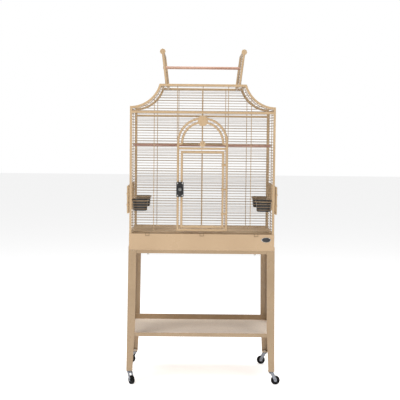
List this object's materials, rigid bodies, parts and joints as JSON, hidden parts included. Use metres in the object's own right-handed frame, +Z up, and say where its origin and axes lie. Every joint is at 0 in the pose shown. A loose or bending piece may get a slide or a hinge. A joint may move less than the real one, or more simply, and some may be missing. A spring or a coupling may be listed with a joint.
{
  "type": "bird cage on stand",
  "caption": "Tall wire bird cage with an arched front door, opening play top, outside feeder doors, slide-out tray and grate, on a rolling stand with a shelf.",
  "frame": {"origin": "centre of the whole footprint, at floor level under the caster wheels", "axes": "+Z up, -Y towards the front door, +X to the right seen from the front"},
  "size_m": [0.8968, 0.5984, 1.8844],
  "materials": {
    "cage_paint": "smooth satin tan powder coat",
    "sheet_paint": "smooth satin tan powder coat",
    "stand_paint": "smooth satin tan powder coat",
    "bright_metal": "zinc plated",
    "badge_metal": "satin",
    "knob_metal": "satin",
    "caster_chrome": "bright",
    "wheel_black": "satin",
    "black_plastic": "satin",
    "cup_plastic": "satin",
    "perch_wood": "bare, smooth",
    "dark_perch_wood": "bare, smooth"
  },
  "bodies": {
    "cage_and_stand": {"stand_cross_rails": "stand_paint", "stand_side_rails": "stand_paint", "base_bolts": "bright_metal", "shelf": "stand_paint", "shelf_bolts": "bright_metal", "caster_stems": "bright_metal", "base_skirt": "sheet_paint", "tray_runners": "sheet_paint", "cross_tubes": "cage_paint", "front_grille": "cage_paint", "rear_grille": "cage_paint", "door_surround": "cage_paint", "arch_panel": "cage_paint", "medallion": "cage_paint", "finial": "cage_paint", "hinge_eyes": "cage_paint", "roof_hinge_pins": "bright_metal", "inner_perch": "dark_perch_wood", "perch_screws": "bright_metal", "gable_frame_front": "cage_paint", "gable_frame_rear": "cage_paint", "side_grille_left": "cage_paint", "side_grille_right": "cage_paint", "roof_grille_left": "cage_paint", "roof_grille_right": "cage_paint", "leg_front_left": "stand_paint", "leg_front_right": "stand_paint", "leg_rear_left": "stand_paint", "leg_rear_right": "stand_paint"},
    "tray": {"tray": "sheet_paint", "badge": "badge_metal"},
    "grate": {"grate": "cage_paint", "grate_hooks": "cage_paint"},
    "front_door": {"front_door": "cage_paint", "latch_plate": "black_plastic", "latch_screws": "bright_metal"},
    "latch_knob": {"latch_knob": "knob_metal"},
    "roof_door_left": {"roof_door_left": "cage_paint"},
    "roof_door_right": {"roof_door_right": "cage_paint"},
    "roof_perch": {"roof_perch": "perch_wood"},
    "feeder_door_front_left": {"feeder_door_front_left": "cage_paint", "cup_ring_front_left": "cage_paint"},
    "feeder_cup_front_left": {"feeder_cup_front_left": "cup_plastic"},
    "caster_fork_front_left": {"caster_fork_front_left": "caster_chrome"},
    "caster_wheel_front_left": {"caster_wheel_front_left": "wheel_black"},
    "feeder_door_front_right": {"feeder_door_front_right": "cage_paint", "cup_ring_front_right": "cage_paint"},
    "feeder_cup_front_right": {"feeder_cup_front_right": "cup_plastic"},
    "caster_fork_front_right": {"caster_fork_front_right": "caster_chrome"},
    "caster_wheel_front_right": {"caster_wheel_front_right": "wheel_black"},
    "feeder_door_rear_left": {"feeder_door_rear_left": "cage_paint", "cup_ring_rear_left": "cage_paint"},
    "feeder_cup_rear_left": {"feeder_cup_rear_left": "cup_plastic"},
    "caster_fork_rear_left": {"caster_fork_rear_left": "caster_chrome"},
    "caster_wheel_rear_left": {"caster_wheel_rear_left": "wheel_black"},
    "feeder_door_rear_right": {"feeder_door_rear_right": "cage_paint", "cup_ring_rear_right": "cage_paint"},
    "feeder_cup_rear_right": {"feeder_cup_rear_right": "cup_plastic"},
    "caster_fork_rear_right": {"caster_fork_rear_right": "caster_chrome"},
    "caster_wheel_rear_right": {"caster_wheel_rear_right": "wheel_black"}
  },
  "joints": [
    {"name": "tray_slide", "type": "slide", "parent": "cage_and_stand", "child": "tray", "axis": [0, -1, 0], "range_m": [0, 0.42]},
    {"name": "grate_slide", "type": "slide", "parent": "tray", "child": "grate", "axis": [0, -1, 0], "range_m": [0, 0.4]},
    {"name": "front_door_hinge", "type": "hinge", "parent": "cage_and_stand", "child": "front_door", "pos_m": [0.11342, -0.25315, 1.102], "axis": [0, 0, 1], "range_deg": [0, 140]},
    {"name": "latch_turn", "type": "hinge", "parent": "front_door", "child": "latch_knob", "pos_m": [-0.12578, -0.2595, 1.102], "axis": [0, -1, 0], "range_deg": [0, 90]},
    {"name": "roof_door_left_hinge", "type": "hinge", "parent": "cage_and_stand", "child": "roof_door_left", "pos_m": [-0.2056, 0.007, 1.68265], "axis": [0, 1, 0], "range_deg": [0, 97]},
    {"name": "roof_door_right_hinge", "type": "hinge", "parent": "cage_and_stand", "child": "roof_door_right", "pos_m": [0.20244, 0.007, 1.68265], "axis": [0, -1, 0], "range_deg": [0, 97]},
    {"name": "roof_perch_slide", "type": "slide", "parent": "roof_door_left", "child": "roof_perch", "axis": [-1, 0, 0], "range_m": [0, 0.51]},
    {"name": "feeder_door_front_left_hinge", "type": "hinge", "parent": "cage_and_stand", "child": "feeder_door_front_left", "pos_m": [-0.41693, -0.243, 1.0415], "axis": [0, 0, 1], "range_deg": [0, 110]},
    {"name": "feeder_cup_front_left_lift", "type": "slide", "parent": "feeder_door_front_left", "child": "feeder_cup_front_left", "axis": [0, 0, 1], "range_m": [0, 0.09]},
    {"name": "caster_front_left_swivel", "type": "hinge", "parent": "cage_and_stand", "child": "caster_fork_front_left", "pos_m": [-0.40258, -0.254, 0.062], "axis": [0, 0, 1], "continuous": true},
    {"name": "caster_front_left_roll", "type": "hinge", "parent": "caster_fork_front_left", "child": "caster_wheel_front_left", "pos_m": [-0.38986, -0.27436, 0.025], "axis": [0.848, 0.5299, 0], "continuous": true},
    {"name": "feeder_door_front_right_hinge", "type": "hinge", "parent": "cage_and_stand", "child": "feeder_door_front_right", "pos_m": [0.41377, -0.243, 1.0415], "axis": [0, 0, -1], "range_deg": [0, 110]},
    {"name": "feeder_cup_front_right_lift", "type": "slide", "parent": "feeder_door_front_right", "child": "feeder_cup_front_right", "axis": [0, 0, 1], "range_m": [0, 0.09]},
    {"name": "caster_front_right_swivel", "type": "hinge", "parent": "cage_and_stand", "child": "caster_fork_front_right", "pos_m": [0.39942, -0.254, 0.062], "axis": [0, 0, 1], "continuous": true},
    {"name": "caster_front_right_roll", "type": "hinge", "parent": "caster_fork_front_right", "child": "caster_wheel_front_right", "pos_m": [0.42342, -0.254, 0.025], "axis": [0, 1, 0], "continuous": true},
    {"name": "feeder_door_rear_left_hinge", "type": "hinge", "parent": "cage_and_stand", "child": "feeder_door_rear_left", "pos_m": [-0.41693, 0.257, 1.0415], "axis": [0, 0, -1], "range_deg": [0, 110]},
    {"name": "feeder_cup_rear_left_lift", "type": "slide", "parent": "feeder_door_rear_left", "child": "feeder_cup_rear_left", "axis": [0, 0, 1], "range_m": [0, 0.09]},
    {"name": "caster_rear_left_swivel", "type": "hinge", "parent": "cage_and_stand", "child": "caster_fork_rear_left", "pos_m": [-0.40258, 0.268, 0.062], "axis": [0, 0, 1], "continuous": true},
    {"name": "caster_rear_left_roll", "type": "hinge", "parent": "caster_fork_rear_left", "child": "caster_wheel_rear_left", "pos_m": [-0.42337, 0.28, 0.025], "axis": [-0.5, -0.866, 0], "continuous": true},
    {"name": "feeder_door_rear_right_hinge", "type": "hinge", "parent": "cage_and_stand", "child": "feeder_door_rear_right", "pos_m": [0.41377, 0.257, 1.0415], "axis": [0, 0, 1], "range_deg": [0, 110]},
    {"name": "feeder_cup_rear_right_lift", "type": "slide", "parent": "feeder_door_rear_right", "child": "feeder_cup_rear_right", "axis": [0, 0, 1], "range_m": [0, 0.09]},
    {"name": "caster_rear_right_swivel", "type": "hinge", "parent": "cage_and_stand", "child": "caster_fork_rear_right", "pos_m": [0.39942, 0.268, 0.062], "axis": [0, 0, 1], "continuous": true},
    {"name": "caster_rear_right_roll", "type": "hinge", "parent": "caster_fork_rear_right", "child": "caster_wheel_rear_right", "pos_m": [0.37542, 0.268, 0.025], "axis": [0, -1, 0], "continuous": true}
  ],
  "couplings": [
    {"joint": "roof_door_right_hinge", "follows": "roof_door_left_hinge", "ratio": 1},
    {"joint": "roof_perch_slide", "follows": "roof_door_left_hinge", "m_per_rad": 0.3}
  ]
}
